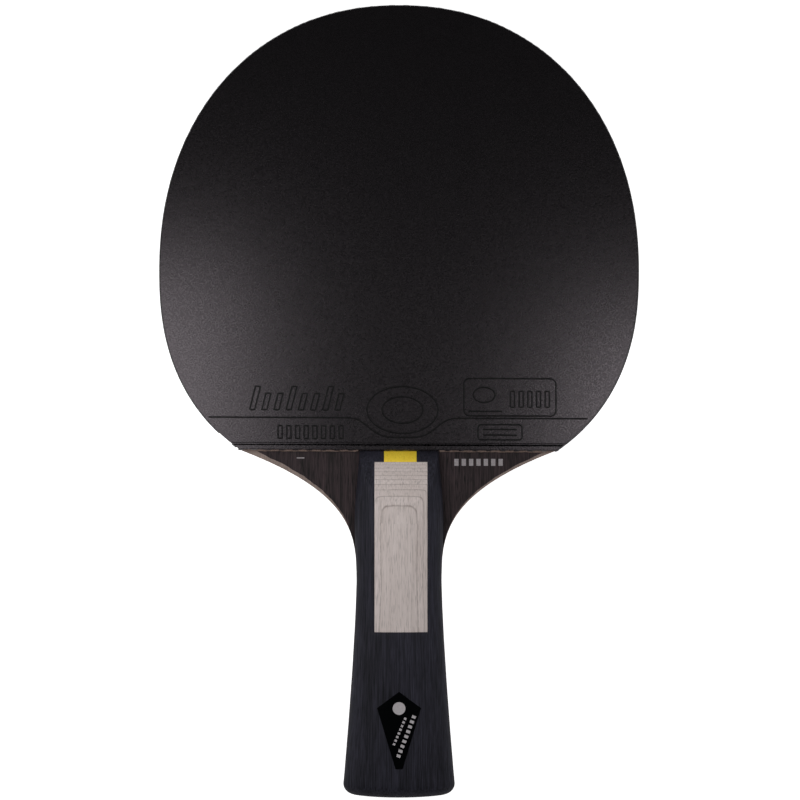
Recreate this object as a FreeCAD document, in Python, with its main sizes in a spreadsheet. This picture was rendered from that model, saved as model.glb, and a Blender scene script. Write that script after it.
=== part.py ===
"""Table tennis paddle: five-ply blade, two pimples-in rubbers, edge tape and a flared handle.

Frame, in millimetres: the paddle lies flat. +Z is out of the front face, +Y runs from the
butt of the handle to the tip of the head and X is across. The origin is under the middle of
the paddle's length and width, level with the lowest line of the rear handle scale.
"""
import FreeCAD, Part
import math
import os

import Sketcher
from FreeCAD import Vector

DRIVING_SIZES = [
    # Plan of the blade. The handle line is where the handle scales and the head meet.
    ("head_width", 151.3),
    ("head_length", 140.85),
    ("widest_height", 56.9),
    ("shoulder_width", 99.2),
    ("head_top_fullness", 2.15),
    ("head_base_fullness", 2.35),
    ("handle_length", 109.4),
    ("neck_length", 41.4),
    # Layers of the head, from the middle outwards.
    ("core_thickness", 3.6),
    ("middle_ply_thickness", 0.5),
    ("face_ply_thickness", 0.6),
    ("glue_thickness", 0.1),
    ("sponge_thickness", 2.0),
    ("pimple_height", 0.8),
    ("topsheet_thickness", 1.0),
    # Rubber, cut straight across above the handle and turned a little by the gluing.
    ("rubber_gap", 0.3),
    ("rubber_skew", 0.27),
    ("sponge_lip", 0.7),
    ("pimple_inset", 1.1),
    ("groove_height", 1.8),
    ("groove_width", 0.3),
    ("groove_depth", 0.25),
    # Tape around the edge of the head.
    ("tape_thickness", 0.35),
    ("tape_width", 8.2),
    ("tape_short_end", 6.3),
    # Handle.
    ("grip_top_width", 25.1),
    ("grip_swell", 0.8),
    ("waist_width", 27.0),
    ("butt_width", 36.0),
    ("flare_power", 1.35),
    ("grip_thickness", 22.8),
    ("butt_thickness", 24.0),
    ("crown_fullness", 2.4),
    ("bevel_length", 23.0),
    ("end_height", 1.5),
    ("butt_bow", 1.0),
    ("butt_round", 4.0),
    # Strips laminated into the handle scales, and the badge.
    ("end_block_length", 3.45),
    ("tab_width", 10.3),
    ("tab_offset", 0.4),
    ("inlay_width", 16.7),
    ("inlay_length", 53.6),
    ("inlay_offset", 0.6),
    ("badge_width", 13.8),
    ("badge_length", 24.3),
    ("badge_tip_width", 2.2),
    ("badge_shoulder", 5.1),
    ("badge_from_butt", 9.3),
    ("badge_bow_radius", 37.0),
    ("badge_thickness", 0.5),
    ("badge_sunk", 0.25),
]

# How far a cutting tool stands past what it cuts.
MARGIN = 2.0
ACROSS = Vector(1, 0, 0)
UP = Vector(0, 0, 1)

doc = FreeCAD.newDocument("paddle")
sheet = doc.addObject("Spreadsheet::Sheet", "sizes")
for row, (alias, value) in enumerate(DRIVING_SIZES, start=1):
    sheet.set(f"A{row}", alias)
    sheet.set(f"B{row}", str(value))
    sheet.setAlias(f"B{row}", alias)
doc.recompute()


def size(alias):
    """Value of a driving size, read back from the sheet."""
    return float(sheet.get(alias))


# Places along the paddle, as formulas on the sheet.
TIP_Y = "((sizes.head_length + sizes.tape_thickness + sizes.handle_length) / 2)"
HANDLE_Y = f"({TIP_Y} - sizes.tape_thickness - sizes.head_length)"
BUTT_Y = f"({HANDLE_Y} - sizes.handle_length)"
RUBBER_Y = f"({HANDLE_Y} + sizes.rubber_gap)"
MIDDLE_Z = "(sizes.butt_thickness / 2)"
BLADE_TOP = "(sizes.core_thickness / 2 + sizes.middle_ply_thickness + sizes.face_ply_thickness)"
HEAD_TOP = (f"({BLADE_TOP} + sizes.glue_thickness + sizes.sponge_thickness"
            " + sizes.pimple_height + sizes.topsheet_thickness)")


def add(kind, name, **formulas):
    """New object whose properties are bound to formulas on the sheet.

    A double underscore in a keyword stands for the dot in a property path.
    """
    thing = doc.addObject(kind, name)
    thing.Label = name
    for path, formula in formulas.items():
        thing.setExpression(path.replace("__", "."), str(formula))
    return thing


def place(thing, **formulas):
    """Bind the x, y or z of an object's placement."""
    for axis, formula in formulas.items():
        thing.setExpression(f"Placement.Base.{axis}", formula)
    return thing


def block(name, width, length, height, **origin):
    """Box with its sizes along X, Y and Z and its low corner bound."""
    return place(add("Part::Box", name, Length=width, Width=length, Height=height), **origin)


def cut(name, base, tool):
    result = add("Part::Cut", name)
    result.Base = base
    result.Tool = tool
    return result


def common(name, base, tool):
    result = add("Part::Common", name)
    result.Base = base
    result.Tool = tool
    return result


def fuse(name, *shapes):
    result = add("Part::MultiFuse", name)
    result.Shapes = list(shapes)
    return result


def slab(name, outline, thickness, height):
    """Flat layer: the outline raised to a height and given a thickness."""
    layer = add("Part::Extrusion", name, LengthFwd=thickness)
    layer.Base = outline
    layer.DirMode = "Custom"
    layer.Dir = UP
    layer.Solid = True
    return place(layer, z=height)


def rear_twin(name, front):
    """Copy of a front piece on the other side of the blade's middle plane."""
    twin = add("Part::Mirroring", name, Base__z=MIDDLE_Z)
    twin.Source = front
    twin.Normal = UP
    return twin


def fixed_shape(name, shape):
    """Shape that follows a formula and has no sketch or primitive of its own kind."""
    feature = doc.addObject("Part::Feature", name)
    feature.Label = name
    feature.Shape = shape
    return feature


# ---- Plan of the paddle, worked out from the sheet -------------------------------------

tip_y = (size("head_length") + size("tape_thickness") + size("handle_length")) / 2
handle_y = tip_y - size("tape_thickness") - size("head_length")
butt_y = handle_y - size("handle_length")
widest_y = handle_y + size("widest_height")
middle_z = size("butt_thickness") / 2
blade_top = size("core_thickness") / 2 + size("middle_ply_thickness") + size("face_ply_thickness")


def oval_point(angle, grow):
    """Point of the head's oval at an angle from +X, with its axes longer by grow.

    The oval is two half superellipses, (x/a)^n + (y/b)^n = 1, that share their width. The
    lower one passes through the shoulders.
    """
    half_width = size("head_width") / 2
    if angle >= 0:
        power = size("head_top_fullness")
        reach = size("head_length") - size("widest_height")
    else:
        power = size("head_base_fullness")
        shoulder = size("shoulder_width") / size("head_width")
        reach = size("widest_height") / (1 - shoulder ** power) ** (1 / power)
    x = (half_width + grow) * math.copysign(abs(math.cos(angle)) ** (2 / power), math.cos(angle))
    y = (reach + grow) * math.copysign(abs(math.sin(angle)) ** (2 / power), math.sin(angle))
    return Vector(x, widest_y + y, 0)


def head_oval(grow, steps=64):
    """Closed wire of the whole oval, as if the handle weren't there."""
    points = [oval_point(-math.pi + 2 * math.pi * (step + 0.5) / steps, grow)
              for step in range(steps)]
    curve = Part.BSplineCurve()
    curve.interpolate(Points=points, PeriodicFlag=True)
    return Part.Wire(curve.toShape())


def neck_half_width(down):
    """Half width of the blade below the handle line: a cubic from the shoulder to the waist."""
    waist = size("waist_width") / 2
    left_over = 1 - down / size("neck_length")
    return waist + (size("shoulder_width") / 2 - waist) * left_over ** 3


def grip_half_width(down):
    """Half width of the handle scales, a distance below the handle line.

    Above the waist it swells and pinches in again, and below it flares with a power curve.
    """
    waist = size("waist_width") / 2
    neck = size("neck_length")
    if down <= neck:
        part = down / neck
        pinch = (size("waist_width") - size("grip_top_width")) / 2
        return waist + size("grip_swell") * math.sin(math.pi * part) ** 2 - pinch * (1 - part) ** 2
    flared = ((down - neck) / (size("handle_length") - neck)) ** size("flare_power")
    return waist + (size("butt_width") / 2 - waist) * flared


def crown_height(down):
    """Height of the crown above the blade's middle plane, a distance below the handle line."""
    neck = size("neck_length")
    flared = max(0.0, (down - neck) / (size("handle_length") - neck)) ** size("flare_power")
    growth = (size("butt_thickness") - size("grip_thickness")) / 2
    return size("grip_thickness") / 2 + growth * flared


def spline(points):
    curve = Part.BSplineCurve()
    curve.interpolate(points)
    return curve.toShape()


def butt_circle_radius():
    """Radius of the slightly bowed butt, from its rise at the corners."""
    half_width = size("butt_width") / 2
    return (half_width ** 2 + size("butt_bow") ** 2) / (2 * size("butt_bow"))


def butt_corner():
    """Tangent points and middle of the arc that rounds the right corner of the butt."""
    corner = Vector(size("butt_width") / 2, butt_y + size("butt_bow"), 0)
    end = size("handle_length") - size("butt_bow")
    above = Vector(grip_half_width(end - size("butt_round")), corner.y + size("butt_round"), 0)
    side = (above - corner).normalize()
    centre = Vector(0, butt_y + butt_circle_radius(), 0)
    outward = (corner - centre).normalize()
    along = Vector(outward.y, -outward.x, 0)
    half_angle = side.getAngle(along) / 2
    tangent = size("butt_round") / math.tan(half_angle)
    bisector = (side + along).normalize()
    middle = corner + bisector * (size("butt_round") / math.sin(half_angle) - size("butt_round"))
    return corner + side * tangent, middle, corner + along * tangent


def right_side():
    """Edges of the right half of the blade's plan, from the tip to the middle of the butt."""
    shoulder = size("shoulder_width") / size("head_width")
    power = size("head_base_fullness")
    shoulder_angle = -math.acos(shoulder ** (power / 2))
    start, middle, finish = butt_corner()
    flare_end = handle_y - start.y
    neck = size("neck_length")
    steps = 12
    head = [oval_point(math.pi / 2 + (shoulder_angle - math.pi / 2) * step / (3 * steps), 0)
            for step in range(3 * steps + 1)]
    neck_curve = [Vector(neck_half_width(neck * step / steps), handle_y - neck * step / steps, 0)
                  for step in range(steps + 1)]
    drops = [neck + (flare_end - neck) * step / steps for step in range(steps)]
    flare = [Vector(grip_half_width(down), handle_y - down, 0) for down in drops] + [start]
    butt = Vector(0, butt_y, 0)
    radius = butt_circle_radius()
    half_way = finish.x / 2
    butt_middle = Vector(half_way, butt_y + radius - math.sqrt(radius ** 2 - half_way ** 2), 0)
    head[-1] = neck_curve[0]
    return [spline(head), spline(neck_curve), spline(flare),
            Part.Arc(start, middle, finish).toShape(), Part.Arc(finish, butt_middle, butt).toShape()]


def blade_plan():
    """Closed wire of the blade: head, shoulders, neck and the tang inside the handle."""
    right = right_side()
    left = [edge.mirror(Vector(0, 0, 0), ACROSS) for edge in right]
    return Part.Wire(Part.__sortEdges__(right + left))


# ---- Blade: five plies of one plan --------------------------------------------------------

blade_outline = fixed_shape("blade_outline", blade_plan())

core_ply = slab("core_ply", blade_outline, "sizes.core_thickness",
                f"{MIDDLE_Z} - sizes.core_thickness / 2")
front_middle_ply = slab("front_middle_ply", blade_outline, "sizes.middle_ply_thickness",
                        f"{MIDDLE_Z} + sizes.core_thickness / 2")
front_face_ply = slab("front_face_ply", blade_outline, "sizes.face_ply_thickness",
                      f"{MIDDLE_Z} + {BLADE_TOP} - sizes.face_ply_thickness")

# ---- Rubber: glue film, sponge and topsheet, cut to the head -------------------------------


def skewed_block(name, length, height, above, z):
    """Box across the head, turned by the skew, with its low edge above the rubber's end."""
    skew = "sizes.rubber_skew"
    bar = block(name, "2 * sizes.head_width", length, height, z=z,
                x=f"-sizes.head_width * cos({skew})",
                y=f"{RUBBER_Y} + {above} + sizes.head_width * sin({skew})")
    bar.Placement.Rotation = FreeCAD.Rotation(UP, -size("rubber_skew"))
    bar.setExpression("Placement.Rotation.Angle", f"-{skew}")
    return bar


def rubber_window(name, above):
    """Everything above a line across the head, which the rubber fills."""
    return skewed_block(name, "2 * sizes.head_length", f"2 * {HEAD_TOP}", above, MIDDLE_Z)


def head_layer(name, outline, thickness, height, window):
    layer = slab(f"{name}_sheet", outline, thickness, height)
    return common(name, layer, window)


glue_base = f"{MIDDLE_Z} + {BLADE_TOP}"
sponge_base = f"{glue_base} + sizes.glue_thickness"
pimple_base = f"{sponge_base} + sizes.sponge_thickness"
sheet_base = f"{pimple_base} + sizes.pimple_height"

topsheet_window = rubber_window("topsheet_window", "0")
sponge_window = rubber_window("sponge_window", "(-sizes.sponge_lip)")
pimple_window = rubber_window("pimple_window", "sizes.pimple_inset")

front_glue_film = head_layer("front_glue_film", blade_outline, "sizes.glue_thickness", glue_base,
                             topsheet_window)

# The sponge stands out below the topsheet, but stops short of the handle's end.
whole_sponge = head_layer("whole_sponge", blade_outline, "sizes.sponge_thickness", sponge_base,
                          sponge_window)
handle_notch = block("handle_notch", "sizes.grip_top_width + 2 * sizes.rubber_gap",
                     f"{MARGIN} + sizes.sponge_lip + sizes.rubber_gap / 2",
                     "sizes.sponge_thickness + sizes.glue_thickness",
                     x="-sizes.grip_top_width / 2 - sizes.rubber_gap",
                     y=f"{RUBBER_Y} - sizes.sponge_lip - {MARGIN}", z=glue_base)
front_sponge = cut("front_sponge", whole_sponge, handle_notch)

# The pimples are one solid bed here, set in from the edge of the sheet that carries them.
pimple_outline = fixed_shape("pimple_outline", head_oval(-size("pimple_inset")))
pimple_bed = head_layer("pimple_bed", pimple_outline, "sizes.pimple_height", pimple_base,
                        pimple_window)
sheet_blank = head_layer("sheet_blank", blade_outline, "sizes.topsheet_thickness", sheet_base,
                         topsheet_window)
groove = skewed_block("groove", "sizes.groove_width", MARGIN, "sizes.groove_height",
                      f"{MIDDLE_Z} + {HEAD_TOP} - sizes.groove_depth")
front_topsheet = cut("front_topsheet", fuse("sheet_and_pimples", sheet_blank, pimple_bed), groove)

# ---- Edge tape: a band on the rim of the head, stopping a little short on the left ---------

tape_outline = fixed_shape("tape_outline", head_oval(size("tape_thickness")))
tape_disc = slab("tape_disc", tape_outline, "sizes.tape_width", f"{MIDDLE_Z} - sizes.tape_width / 2")
tape_window = block("tape_window", "2 * sizes.head_width", "2 * sizes.head_length",
                    "sizes.butt_thickness", x="-sizes.head_width", y=HANDLE_Y)
blade_hole = slab("blade_hole", blade_outline, "sizes.butt_thickness", "0")
short_end = block("short_end", "sizes.head_width", "sizes.tape_short_end", "sizes.butt_thickness",
                  x="-sizes.head_width", y=HANDLE_Y)
tape_band = cut("tape_band", common("tape_plate", tape_disc, tape_window), blade_hole)
edge_tape = cut("edge_tape", tape_band, short_end)

# ---- Handle scales: crowned, flared, bevelled towards the head ------------------------------


def crown_section(down):
    """Half superellipse that stands on the blade's face, a distance below the handle line."""
    half_width = grip_half_width(down)
    rise = crown_height(down) - blade_top
    power = size("crown_fullness")
    base_z = middle_z + blade_top
    steps = 24
    points = []
    for step in range(steps + 1):
        angle = math.pi * step / steps
        x = half_width * math.copysign(abs(math.cos(angle)) ** (2 / power), math.cos(angle))
        z = rise * abs(math.sin(angle)) ** (2 / power)
        points.append(Vector(x, handle_y - down, base_z + z))
    points[0].z = base_z
    points[-1].z = base_z
    base = Part.LineSegment(points[-1], points[0]).toShape()
    return Part.Wire([spline(points), base])


station_count = 14
crown_sections = []
for station in range(station_count + 1):
    station_down = size("handle_length") * station / station_count
    section = fixed_shape(f"crown_section_{station}", crown_section(station_down))
    crown_sections.append(section)
scale_form = add("Part::Loft", "scale_form")
scale_form.Sections = crown_sections
scale_form.Solid = True

# The bevel is a round arc, level where it meets the crown, and leaves a low blunt end.
bevel_drop = f"(sizes.grip_thickness / 2 - {BLADE_TOP} - sizes.end_height)"
bevel_radius = f"((sizes.bevel_length ^ 2 + {bevel_drop} ^ 2) / (2 * {bevel_drop}))"
bevel_stock = block("bevel_stock", "2 * sizes.butt_width", f"sizes.bevel_length + {MARGIN}",
                    "sizes.butt_thickness", x="-sizes.butt_width",
                    y=f"{HANDLE_Y} - sizes.bevel_length", z=f"{MIDDLE_Z} + {BLADE_TOP}")
bevel_drum = add("Part::Cylinder", "bevel_drum", Radius=bevel_radius, Height="3 * sizes.butt_width")
bevel_drum.Placement.Rotation = FreeCAD.Rotation(UP, ACROSS)
place(bevel_drum, x="-1.5 * sizes.butt_width", y=f"{HANDLE_Y} - sizes.bevel_length",
      z=f"{MIDDLE_Z} + sizes.grip_thickness / 2 - {bevel_radius}")
bevelled_form = cut("bevelled_form", scale_form, cut("bevel_cutter", bevel_stock, bevel_drum))

# The butt is bowed like the plies.
butt_radius = ("(((sizes.butt_width / 2) ^ 2 + sizes.butt_bow ^ 2) / (2 * sizes.butt_bow))")
butt_stock = block("butt_stock", "2 * sizes.butt_width", f"{MARGIN} + 2 * sizes.butt_bow",
                   "sizes.butt_thickness", x="-sizes.butt_width", y=f"{BUTT_Y} - {MARGIN}",
                   z=MIDDLE_Z)
butt_drum = place(add("Part::Cylinder", "butt_drum", Radius=butt_radius,
                      Height="2 * sizes.butt_thickness"), y=f"{BUTT_Y} + {butt_radius}")
bowed_form = cut("bowed_form", bevelled_form, cut("butt_cutter", butt_stock, butt_drum))
doc.recompute()


def butt_edges(shape):
    """Names of the edges along the top of the butt, which are rounded."""
    names = []
    for index, edge in enumerate(shape.Edges, start=1):
        box = edge.BoundBox
        at_butt = box.YMax < butt_y + size("butt_bow") + size("butt_round") / 4
        if at_butt and box.ZMax > middle_z + blade_top + size("butt_round"):
            names.append(f"Edge{index}")
    return names


scale_blank = doc.addObject("PartDesign::Body", "scale_blank")
scale_blank.BaseFeature = bowed_form
doc.recompute()
butt_fillet = scale_blank.newObject("PartDesign::Fillet", "butt_fillet")
butt_fillet.Base = (scale_blank.Group[0], butt_edges(scale_blank.Group[0].Shape))
butt_fillet.setExpression("Radius", "sizes.butt_round")
scale_blank.Tip = butt_fillet
doc.recompute()

# The strips run through the scale, from its face down to the blade.
STRIP_Z = f"{MIDDLE_Z} + {BLADE_TOP}"
end_prism = block("end_prism", "2 * sizes.butt_width", f"sizes.end_block_length + {MARGIN}",
                  "sizes.butt_thickness", x="-sizes.butt_width",
                  y=f"{HANDLE_Y} - sizes.end_block_length", z=STRIP_Z)
tab_prism = block("tab_prism", "sizes.tab_width", f"sizes.end_block_length + {MARGIN}",
                  "sizes.butt_thickness", x="sizes.tab_offset - sizes.tab_width / 2",
                  y=f"{HANDLE_Y} - sizes.end_block_length", z=STRIP_Z)
inlay_prism = block("inlay_prism", "sizes.inlay_width", "sizes.inlay_length",
                    "sizes.butt_thickness", x="sizes.inlay_offset - sizes.inlay_width / 2",
                    y=f"{HANDLE_Y} - sizes.end_block_length - sizes.inlay_length", z=STRIP_Z)

end_piece = common("end_piece", scale_blank, end_prism)
front_end_blocks = cut("front_end_blocks", end_piece, tab_prism)
front_end_tab = common("front_end_tab", end_piece, tab_prism)
front_inlay = common("front_inlay", scale_blank, inlay_prism)
plain_scale = cut("plain_scale", scale_blank, fuse("strip_prisms", end_prism, inlay_prism))

# ---- Badge: a thin kite on the front crown, bowed across the handle -------------------------

badge_body = doc.addObject("PartDesign::Body", "badge_body")
origin_plane = [item for item in badge_body.Origin.OriginFeatures if item.Role == "XY_Plane"][0]
kite = badge_body.newObject("Sketcher::SketchObject", "kite")
kite.AttachmentSupport = (origin_plane, "")
kite.MapMode = "FlatFace"

half_kite = size("badge_width") / 2
half_tip = size("badge_tip_width") / 2
side_y = size("badge_length") - size("badge_shoulder")
kite_corners = [Vector(0, size("badge_length"), 0), Vector(-half_kite, side_y, 0),
                Vector(-half_tip, 0, 0), Vector(half_tip, 0, 0), Vector(half_kite, side_y, 0)]
side_count = len(kite_corners)
for side in range(side_count):
    kite.addGeometry(Part.LineSegment(kite_corners[side], kite_corners[(side + 1) % side_count]))

# A sketch names its origin (-1, 1), its axes -1 and -2, and a line's start 1.
START, ORIGIN, ACROSS_AXIS, UP_AXIS = 1, (-1, 1), -1, -2
for side in range(side_count):
    kite.addConstraint(Sketcher.Constraint("Coincident", side, 2, (side + 1) % side_count, START))
kite.addConstraint(Sketcher.Constraint("PointOnObject", 0, START, UP_AXIS))
kite.addConstraint(Sketcher.Constraint("PointOnObject", 2, START, ACROSS_AXIS))
kite.addConstraint(Sketcher.Constraint("Symmetric", 1, START, 4, START, UP_AXIS))
kite.addConstraint(Sketcher.Constraint("Symmetric", 2, START, 3, START, UP_AXIS))


def kite_dimension(kind, first, second, value, formula):
    """Dimension between two points of the kite, bound to the sheet."""
    index = kite.addConstraint(Sketcher.Constraint(kind, *first, *second, value))
    kite.setExpression(f"Constraints[{index}]", formula)


kite_dimension("DistanceX", (1, START), (4, START), 2 * half_kite, "sizes.badge_width")
kite_dimension("DistanceX", (2, START), (3, START), 2 * half_tip, "sizes.badge_tip_width")
kite_dimension("DistanceY", ORIGIN, (0, START), size("badge_length"), "sizes.badge_length")
kite_dimension("DistanceY", ORIGIN, (1, START), side_y, "sizes.badge_length - sizes.badge_shoulder")
doc.recompute()
kite_pad = badge_body.newObject("PartDesign::Pad", "kite_pad")
kite_pad.Profile = kite
kite_pad.setExpression("Length", "sizes.butt_thickness")
badge_body.Tip = kite_pad
place(badge_body, y=f"{BUTT_Y} + sizes.badge_from_butt", z=MIDDLE_Z)

badge_down = "(sizes.handle_length - sizes.badge_from_butt - sizes.badge_length / 2)"
badge_flare = (f"((({badge_down} - sizes.neck_length) / (sizes.handle_length - sizes.neck_length))"
               " ^ sizes.flare_power)")
badge_crown = ("(sizes.grip_thickness / 2 + (sizes.butt_thickness - sizes.grip_thickness) / 2"
               f" * {badge_flare})")


def badge_drum(name, radius):
    """Cylinder along the handle, with the badge's bow, that the badge lies against."""
    drum = add("Part::Cylinder", name, Radius=radius, Height="sizes.handle_length")
    drum.Placement.Rotation = FreeCAD.Rotation(UP, Vector(0, 1, 0))
    return place(drum, y=BUTT_Y, z=f"{MIDDLE_Z} + {badge_crown} - sizes.badge_bow_radius")


badge_floor = badge_drum("badge_floor", "sizes.badge_bow_radius - sizes.badge_sunk")
badge_face = badge_drum("badge_face", "sizes.badge_bow_radius - sizes.badge_sunk"
                        " + sizes.badge_thickness")
handle_badge = common("handle_badge", badge_body, cut("badge_skin", badge_face, badge_floor))
badge_recess = cut("badge_recess", badge_body, badge_floor)
front_handle_scale = cut("front_handle_scale", plain_scale, badge_recess)

# ---- Rear: every layer again, behind the core ----------------------------------------------

rear_middle_ply = rear_twin("rear_middle_ply", front_middle_ply)
rear_face_ply = rear_twin("rear_face_ply", front_face_ply)
rear_glue_film = rear_twin("rear_glue_film", front_glue_film)
rear_sponge = rear_twin("rear_sponge", front_sponge)
rear_topsheet = rear_twin("rear_topsheet", front_topsheet)
rear_handle_scale = rear_twin("rear_handle_scale", plain_scale)
rear_inlay = rear_twin("rear_inlay", front_inlay)
rear_end_blocks = rear_twin("rear_end_blocks", front_end_blocks)
rear_end_tab = rear_twin("rear_end_tab", front_end_tab)
doc.recompute()

# ---- Checks, then one file for each piece ---------------------------------------------------

SUB_PARTS = [
    core_ply, front_middle_ply, rear_middle_ply, front_face_ply, rear_face_ply,
    front_glue_film, rear_glue_film, front_sponge, rear_sponge, front_topsheet, rear_topsheet,
    edge_tape, front_handle_scale, rear_handle_scale, front_inlay, rear_inlay,
    front_end_blocks, rear_end_blocks, front_end_tab, rear_end_tab, handle_badge,
]

for item in doc.Objects:
    if "Invalid" in item.State or "Error" in item.State:
        raise RuntimeError(f"{item.Name} failed: {item.State}")
for piece in SUB_PARTS:
    if piece.Shape.isNull() or not piece.Shape.isValid() or not piece.Shape.Solids:
        raise RuntimeError(f"{piece.Label} has no valid solid")

os.makedirs("parts", exist_ok=True)
for piece in SUB_PARTS:
    piece.Shape.exportStep(f"parts/{piece.Label}.step")
    box = piece.Shape.BoundBox
    print(f"{piece.Label}: {len(piece.Shape.Solids)} solid(s), {piece.Shape.Volume:.1f} mm3, "
          f"x {box.XMin:.2f} to {box.XMax:.2f}, y {box.YMin:.2f} to {box.YMax:.2f}, "
          f"z {box.ZMin:.2f} to {box.ZMax:.2f}")
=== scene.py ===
import bmesh
import bpy
import numpy as np
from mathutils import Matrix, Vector


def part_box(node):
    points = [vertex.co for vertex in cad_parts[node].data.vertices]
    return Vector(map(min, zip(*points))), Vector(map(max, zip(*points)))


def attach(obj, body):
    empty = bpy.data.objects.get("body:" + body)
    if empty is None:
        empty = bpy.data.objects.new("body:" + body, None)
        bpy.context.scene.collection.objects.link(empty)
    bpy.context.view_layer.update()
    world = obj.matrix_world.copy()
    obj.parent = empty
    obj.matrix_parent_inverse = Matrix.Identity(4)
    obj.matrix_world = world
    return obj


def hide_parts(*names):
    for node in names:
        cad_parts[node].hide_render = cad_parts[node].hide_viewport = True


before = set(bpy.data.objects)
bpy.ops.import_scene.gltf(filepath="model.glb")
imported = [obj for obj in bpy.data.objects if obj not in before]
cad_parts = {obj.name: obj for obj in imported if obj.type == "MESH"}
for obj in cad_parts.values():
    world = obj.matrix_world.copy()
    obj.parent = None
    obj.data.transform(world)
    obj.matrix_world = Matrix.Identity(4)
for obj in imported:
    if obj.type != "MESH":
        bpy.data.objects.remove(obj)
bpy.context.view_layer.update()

# ---- Camera ---------------------------------------------------------------------------------
# A long lens looks straight down on the front face of the paddle, with the tip of the head at
# the top. Lengths in this script are millimetres, turned to metres as each mesh is made.

MM = 0.001
VIEW_WIDTH = 252.8
CAMERA_DISTANCE = 1500.0
SENSOR_WIDTH = 36.0
FRONT_HEIGHT = 18.8
VIEW_CENTRE = (0.3, 0.25)

camera_data = bpy.data.cameras.new("camera")
camera_data.sensor_width = SENSOR_WIDTH
camera_data.lens = SENSOR_WIDTH * CAMERA_DISTANCE / VIEW_WIDTH
camera = bpy.data.objects.new("camera", camera_data)
camera.location = (VIEW_CENTRE[0] * MM, VIEW_CENTRE[1] * MM, (CAMERA_DISTANCE + FRONT_HEIGHT) * MM)
bpy.context.collection.objects.link(camera)
bpy.context.scene.camera = camera

# ---- Blade: core and middle plies --------------------------------------------------------------
# Rotary-cut veneers glued crosswise under heat and sawn to one plan. Only their edges show, in
# the sanded rim of the neck and between the handle scales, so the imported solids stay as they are.

CORE_WOOD_PALE = "#D9BE94"
CORE_WOOD_DARK = "#B8966A"
MIDDLE_WOOD_PALE = "#C9A67C"
MIDDLE_WOOD_DARK = "#9C7750"
FIBRE_WIDTH = 0.35
FIBRE_LENGTH = 14.0
RING_WIDTH = 5.0
PORE_WIDTH = 0.3
PORE_LENGTH = 4.0


def linear(code):
    """Scene-linear colour of an sRGB hex value, with full alpha."""
    channels = np.array([int(code[i:i + 2], 16) for i in (1, 3, 5)]) / 255
    low = channels / 12.92
    high = ((channels + 0.055) / 1.055) ** 2.4
    return (*np.where(channels <= 0.04045, low, high), 1.0)


def add_node(tree, kind, inputs=None, **settings):
    """One shader node: an input given a socket is linked to it, any other value is set."""
    node = tree.nodes.new(kind)
    for name, value in settings.items():
        setattr(node, name, value)
    for key, value in (inputs or {}).items():
        if isinstance(value, bpy.types.NodeSocket):
            tree.links.new(value, node.inputs[key])
        else:
            node.inputs[key].default_value = value
    return node


def new_material(name):
    """Material with only a Principled shader, its node tree and that shader."""
    material = bpy.data.materials.new(name)
    material.use_nodes = True
    tree = material.node_tree
    return material, tree, tree.nodes["Principled BSDF"]


def add_relief(tree, shader, height, depth, **settings):
    """Bump on a shader from a height between 0 and 1, with its depth in millimetres."""
    bump = add_node(tree, "ShaderNodeBump", {
        "Height": height, "Distance": depth * MM, "Strength": 1.0}, **settings)
    tree.links.new(bump.outputs["Normal"], shader.inputs["Normal"])


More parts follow.
